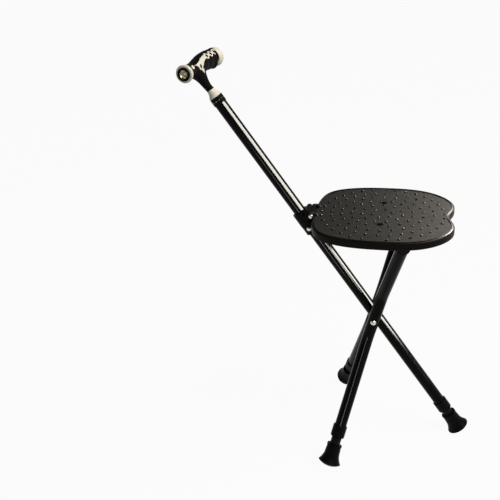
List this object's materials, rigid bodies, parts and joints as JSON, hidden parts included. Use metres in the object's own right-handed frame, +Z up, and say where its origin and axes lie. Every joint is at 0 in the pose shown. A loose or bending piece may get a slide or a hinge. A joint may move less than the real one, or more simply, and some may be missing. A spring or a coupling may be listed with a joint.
{
  "type": "walking stick seat",
  "caption": "Folding walking cane with a torch handle whose bent rear legs and sliding sleeve open a small moulded seat on a tripod of rubber feet.",
  "frame": {"origin": "middle of the footprint of the whole unfolded part, on the ground", "axes": "+Z up; +X from the handle side to the free end of the seat, so the sitter faces -X; +Y is the right hand of the sitter"},
  "size_m": [0.4984, 0.312, 0.757],
  "materials": {
    "tube_paint": "black anodised",
    "inner_tube": "black anodised",
    "black_plastic": "matte",
    "seat_plastic": "matte",
    "foot_rubber": "matte",
    "grip_rubber": "matte",
    "cream_plastic": "satin",
    "pale_button": "satin",
    "brass_button": "satin",
    "bolt_steel": "polished",
    "bracket_steel": "satin",
    "spring_steel": "satin",
    "washer_steel": "satin",
    "post_steel": "satin",
    "nylon": "matte",
    "torch_alloy": "satin",
    "reflector_chrome": "polished",
    "lens_clear": "polished",
    "led_board": "matte",
    "cell_wrap": "printed wrap"
  },
  "bodies": {
    "pole": {"main_pole": "tube_paint", "top_collar": "black_plastic", "stem_bush": "nylon", "handle_post": "post_steel", "cone_skirt": "cream_plastic", "grip": "grip_rubber", "front_inlay": "cream_plastic", "rear_inlay": "cream_plastic", "inlay_diamonds": "black_plastic", "torch_bezel": "cream_plastic", "torch_head": "black_plastic", "torch_lens": "lens_clear", "torch_reflector": "reflector_chrome", "led_board": "led_board", "torch_tube": "torch_alloy", "battery_cells": "cell_wrap", "battery_spring": "spring_steel", "end_cap": "cream_plastic", "switch_module": "nylon", "scissor_bolt": "bolt_steel", "scissor_nut": "bolt_steel", "pivot_spacers": "black_plastic", "stop_bolt": "bolt_steel", "stop_nut": "bolt_steel", "pole_ferrule": "black_plastic"},
    "pole_foot": {"pole_inner_tube": "inner_tube", "pole_rubber_foot": "foot_rubber", "pole_foot_washer": "washer_steel", "pole_snap_spring": "spring_steel"},
    "pole_button": {"pole_snap_button": "brass_button"},
    "legs": {"left_leg_tube": "tube_paint", "right_leg_tube": "tube_paint", "left_leg_knuckle": "black_plastic", "right_leg_knuckle": "black_plastic", "cross_tube": "tube_paint", "cross_tube_caps": "black_plastic", "left_ferrule": "black_plastic", "right_ferrule": "black_plastic"},
    "left_foot": {"left_inner_tube": "inner_tube", "left_rubber_foot": "foot_rubber", "left_foot_washer": "washer_steel", "left_snap_spring": "spring_steel"},
    "left_button": {"left_snap_button": "brass_button"},
    "right_foot": {"right_inner_tube": "inner_tube", "right_rubber_foot": "foot_rubber", "right_foot_washer": "washer_steel", "right_snap_spring": "spring_steel"},
    "right_button": {"right_snap_button": "brass_button"},
    "seat": {"seat_board": "seat_plastic", "seat_bracket": "bracket_steel", "seat_screws": "bracket_steel", "seat_screw_nuts": "bolt_steel", "hinge_bolt": "bolt_steel", "hinge_nut": "bolt_steel"},
    "sleeve": {"slide_sleeve": "black_plastic"},
    "torch_switch_button": {"torch_button": "pale_button"},
    "battery_door": {"battery_cap": "black_plastic"}
  },
  "joints": [
    {"name": "fold", "type": "hinge", "parent": "pole", "child": "legs", "pos_m": [0.07097, 0, 0.26461], "axis": [0, -1, 0], "range_deg": [0, 43.3]},
    {"name": "seat_turn", "type": "hinge", "parent": "legs", "child": "seat", "pos_m": [0.12856, 0, 0.453], "axis": [0, -1, 0], "range_deg": [-93.8, 0]},
    {"name": "sleeve_turn", "type": "hinge", "parent": "seat", "child": "sleeve", "pos_m": [-0.0377, 0, 0.47393], "axis": [0, -1, 0], "range_deg": [0, 50.5]},
    {"name": "pole_extend", "type": "slide", "parent": "pole", "child": "pole_foot", "axis": [0.5344, 0, -0.8453], "range_m": [0, 0.1], "deforming": ["pole_snap_button"]},
    {"name": "left_extend", "type": "slide", "parent": "legs", "child": "left_foot", "axis": [-0.2614, -0.4478, -0.8551], "range_m": [0, 0.1], "deforming": ["left_snap_button"]},
    {"name": "right_extend", "type": "slide", "parent": "legs", "child": "right_foot", "axis": [-0.2614, 0.4478, -0.8551], "range_m": [0, 0.1], "deforming": ["right_snap_button"]},
    {"name": "pole_button_press", "type": "slide", "parent": "pole_foot", "child": "pole_button", "axis": [0, -1, 0], "range_m": [0, 0.0046], "stiffness_N_per_m": 2000, "deforming": ["pole_snap_spring"]},
    {"name": "left_button_press", "type": "slide", "parent": "left_foot", "child": "left_button", "axis": [0.1309, -0.8942, 0.4282], "range_m": [0, 0.0046], "stiffness_N_per_m": 2000, "deforming": ["left_snap_spring"]},
    {"name": "right_button_press", "type": "slide", "parent": "right_foot", "child": "right_button", "axis": [0.1309, 0.8942, 0.4282], "range_m": [0, 0.0046], "stiffness_N_per_m": 2000, "deforming": ["right_snap_spring"]},
    {"name": "torch_button_press", "type": "slide", "parent": "pole", "child": "torch_switch_button", "axis": [-0.8411, 0.0993, -0.5317], "range_m": [0, 0.0012], "stiffness_N_per_m": 1500},
    {"name": "battery_cap_turn", "type": "hinge", "parent": "pole", "child": "battery_door", "pos_m": [-0.22891, 0, 0.73897], "axis": [0.1183, 0.993, -0.0016], "range_deg": [0, 90]}
  ],
  "couplings": [
    {"joint": "seat_turn", "follows": "fold", "ratio": -2.165},
    {"joint": "sleeve_turn", "follows": "fold", "ratio": 1.165}
  ]
}
